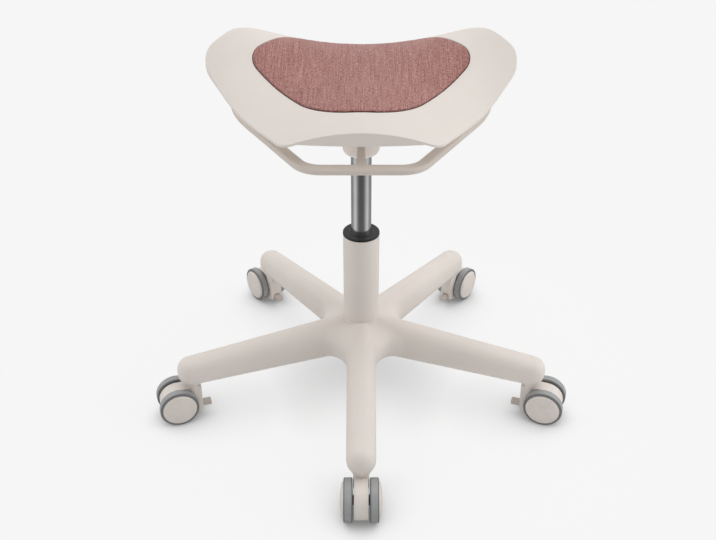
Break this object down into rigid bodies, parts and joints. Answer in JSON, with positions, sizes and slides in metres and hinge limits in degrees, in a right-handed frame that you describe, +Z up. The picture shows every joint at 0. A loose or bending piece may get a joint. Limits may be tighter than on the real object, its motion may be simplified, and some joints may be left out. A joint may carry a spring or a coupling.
{
  "type": "saddle stool",
  "caption": "Height-adjustable saddle stool with an upholstered inlay, a ring lever under the seat, a gas lift and a star base on braked twin-wheel casters.",
  "frame": {"origin": "middle of the footprint on the floor", "axes": "+Z up, the seat's narrow nose and one arm of the base point to -Y, +X is the right-hand side for someone who looks at the nose, and the column stands 22.4 mm behind the origin"},
  "size_m": [0.5918, 0.563, 0.5257],
  "materials": {
    "base_cream": "fine grained",
    "tube_cream": "satin powder coat",
    "seat_cream": "fine grained",
    "lever_cream": "satin",
    "caster_cream": "satin",
    "brake_grey": "satin",
    "pad_fabric": "woven, heathered dusty pink",
    "foam": "open foam",
    "board": "plain",
    "black_plastic": "satin",
    "seal_rubber": "plain",
    "satin_chrome": "satin",
    "steel": "zinc plated",
    "plate_paint": "black",
    "tyre_grey": "matt"
  },
  "bodies": {
    "base": {"star_base": "base_cream", "outer_tube": "tube_cream", "guide_bush": "black_plastic", "thrust_bearing": "steel", "caster_stems": "steel"},
    "piston": {"piston_rod": "steel", "piston_head": "black_plastic", "retaining_clip": "steel"},
    "seat": {"pressure_cylinder": "satin_chrome", "rod_seal": "seal_rubber", "seat_head": "seat_cream", "head_screws": "steel", "mount_plate": "plate_paint", "seat_screws": "steel", "seat_shell": "seat_cream", "under_cover": "seat_cream", "pad_board": "board", "pad_foam": "foam", "pad_cover": "pad_fabric", "lever_pivot_pin": "steel"},
    "lever": {"ring_lever": "lever_cream"},
    "valve": {"valve_pin": "black_plastic"},
    "caster_1": {"caster_1_housing": "caster_cream", "caster_1_axle": "steel"},
    "brake_1": {"caster_1_brake_lever": "brake_grey"},
    "wheel_1_left": {"caster_1_wheel_left": "caster_cream", "caster_1_tyre_left": "tyre_grey"},
    "wheel_1_right": {"caster_1_wheel_right": "caster_cream", "caster_1_tyre_right": "tyre_grey"},
    "caster_2": {"caster_2_housing": "caster_cream", "caster_2_axle": "steel"},
    "brake_2": {"caster_2_brake_lever": "brake_grey"},
    "wheel_2_left": {"caster_2_wheel_left": "caster_cream", "caster_2_tyre_left": "tyre_grey"},
    "wheel_2_right": {"caster_2_wheel_right": "caster_cream", "caster_2_tyre_right": "tyre_grey"},
    "caster_3": {"caster_3_housing": "caster_cream", "caster_3_axle": "steel"},
    "brake_3": {"caster_3_brake_lever": "brake_grey"},
    "wheel_3_left": {"caster_3_wheel_left": "caster_cream", "caster_3_tyre_left": "tyre_grey"},
    "wheel_3_right": {"caster_3_wheel_right": "caster_cream", "caster_3_tyre_right": "tyre_grey"},
    "caster_4": {"caster_4_housing": "caster_cream", "caster_4_axle": "steel"},
    "brake_4": {"caster_4_brake_lever": "brake_grey"},
    "wheel_4_left": {"caster_4_wheel_left": "caster_cream", "caster_4_tyre_left": "tyre_grey"},
    "wheel_4_right": {"caster_4_wheel_right": "caster_cream", "caster_4_tyre_right": "tyre_grey"},
    "caster_5": {"caster_5_housing": "caster_cream", "caster_5_axle": "steel"},
    "brake_5": {"caster_5_brake_lever": "brake_grey"},
    "wheel_5_left": {"caster_5_wheel_left": "caster_cream", "caster_5_tyre_left": "tyre_grey"},
    "wheel_5_right": {"caster_5_wheel_right": "caster_cream", "caster_5_tyre_right": "tyre_grey"}
  },
  "joints": [
    {"name": "seat_swivel", "type": "hinge", "parent": "base", "child": "piston", "pos_m": [0, 0.02244, 0.045], "axis": [0, 0, 1], "continuous": true},
    {"name": "seat_lift", "type": "slide", "parent": "piston", "child": "seat", "axis": [0, 0, 1], "range_m": [-0.1, 0.02]},
    {"name": "lever_tilt", "type": "hinge", "parent": "seat", "child": "lever", "pos_m": [0, 0.00444, 0.42035], "axis": [-1, 0, 0], "range_deg": [0, 7], "stiffness_Nm_per_rad": 1.5, "springref_deg": -11.46},
    {"name": "valve_press", "type": "slide", "parent": "seat", "child": "valve", "axis": [0, 0, -1], "range_m": [0, 0.0023]},
    {"name": "caster_1_swivel", "type": "hinge", "parent": "base", "child": "caster_1", "pos_m": [0, -0.23126, 0.054], "axis": [0, 0, 1], "continuous": true},
    {"name": "caster_1_roll_left", "type": "hinge", "parent": "caster_1", "child": "wheel_1_left", "pos_m": [0, -0.25426, 0.0276], "axis": [1, 0, 0], "continuous": true},
    {"name": "caster_1_roll_right", "type": "hinge", "parent": "caster_1", "child": "wheel_1_right", "pos_m": [0, -0.25426, 0.0276], "axis": [1, 0, 0], "continuous": true},
    {"name": "caster_1_brake", "type": "hinge", "parent": "caster_1", "child": "brake_1", "pos_m": [0, -0.22626, 0.015], "axis": [-1, 0, 0], "range_deg": [0, 10]},
    {"name": "caster_2_swivel", "type": "hinge", "parent": "base", "child": "caster_2", "pos_m": [0.24128, -0.05596, 0.054], "axis": [0, 0, 1], "continuous": true},
    {"name": "caster_2_roll_left", "type": "hinge", "parent": "caster_2", "child": "wheel_2_left", "pos_m": [0.26316, -0.06307, 0.0276], "axis": [0.309, 0.9511, 0], "continuous": true},
    {"name": "caster_2_roll_right", "type": "hinge", "parent": "caster_2", "child": "wheel_2_right", "pos_m": [0.26316, -0.06307, 0.0276], "axis": [0.309, 0.9511, 0], "continuous": true},
    {"name": "caster_2_brake", "type": "hinge", "parent": "caster_2", "child": "brake_2", "pos_m": [0.23653, -0.05441, 0.015], "axis": [-0.309, -0.9511, 0], "range_deg": [0, 10]},
    {"name": "caster_3_swivel", "type": "hinge", "parent": "base", "child": "caster_3", "pos_m": [0.14912, 0.22769, 0.054], "axis": [0, 0, 1], "continuous": true},
    {"name": "caster_3_roll_left", "type": "hinge", "parent": "caster_3", "child": "wheel_3_left", "pos_m": [0.16264, 0.2463, 0.0276], "axis": [-0.809, 0.5878, 0], "continuous": true},
    {"name": "caster_3_roll_right", "type": "hinge", "parent": "caster_3", "child": "wheel_3_right", "pos_m": [0.16264, 0.2463, 0.0276], "axis": [-0.809, 0.5878, 0], "continuous": true},
    {"name": "caster_3_brake", "type": "hinge", "parent": "caster_3", "child": "brake_3", "pos_m": [0.14618, 0.22364, 0.015], "axis": [0.809, -0.5878, 0], "range_deg": [0, 10]},
    {"name": "caster_4_swivel", "type": "hinge", "parent": "base", "child": "caster_4", "pos_m": [-0.14912, 0.22769, 0.054], "axis": [0, 0, 1], "continuous": true},
    {"name": "caster_4_roll_left", "type": "hinge", "parent": "caster_4", "child": "wheel_4_left", "pos_m": [-0.16264, 0.2463, 0.0276], "axis": [-0.809, -0.5878, 0], "continuous": true},
    {"name": "caster_4_roll_right", "type": "hinge", "parent": "caster_4", "child": "wheel_4_right", "pos_m": [-0.16264, 0.2463, 0.0276], "axis": [-0.809, -0.5878, 0], "continuous": true},
    {"name": "caster_4_brake", "type": "hinge", "parent": "caster_4", "child": "brake_4", "pos_m": [-0.14618, 0.22364, 0.015], "axis": [0.809, 0.5878, 0], "range_deg": [0, 10]},
    {"name": "caster_5_swivel", "type": "hinge", "parent": "base", "child": "caster_5", "pos_m": [-0.24128, -0.05596, 0.054], "axis": [0, 0, 1], "continuous": true},
    {"name": "caster_5_roll_left", "type": "hinge", "parent": "caster_5", "child": "wheel_5_left", "pos_m": [-0.26316, -0.06307, 0.0276], "axis": [0.309, -0.9511, 0], "continuous": true},
    {"name": "caster_5_roll_right", "type": "hinge", "parent": "caster_5", "child": "wheel_5_right", "pos_m": [-0.26316, -0.06307, 0.0276], "axis": [0.309, -0.9511, 0], "continuous": true},
    {"name": "caster_5_brake", "type": "hinge", "parent": "caster_5", "child": "brake_5", "pos_m": [-0.23653, -0.05441, 0.015], "axis": [-0.309, 0.9511, 0], "range_deg": [0, 10]}
  ],
  "couplings": [
    {"joint": "valve_press", "follows": "lever_tilt", "m_per_rad": 0.018}
  ]
}
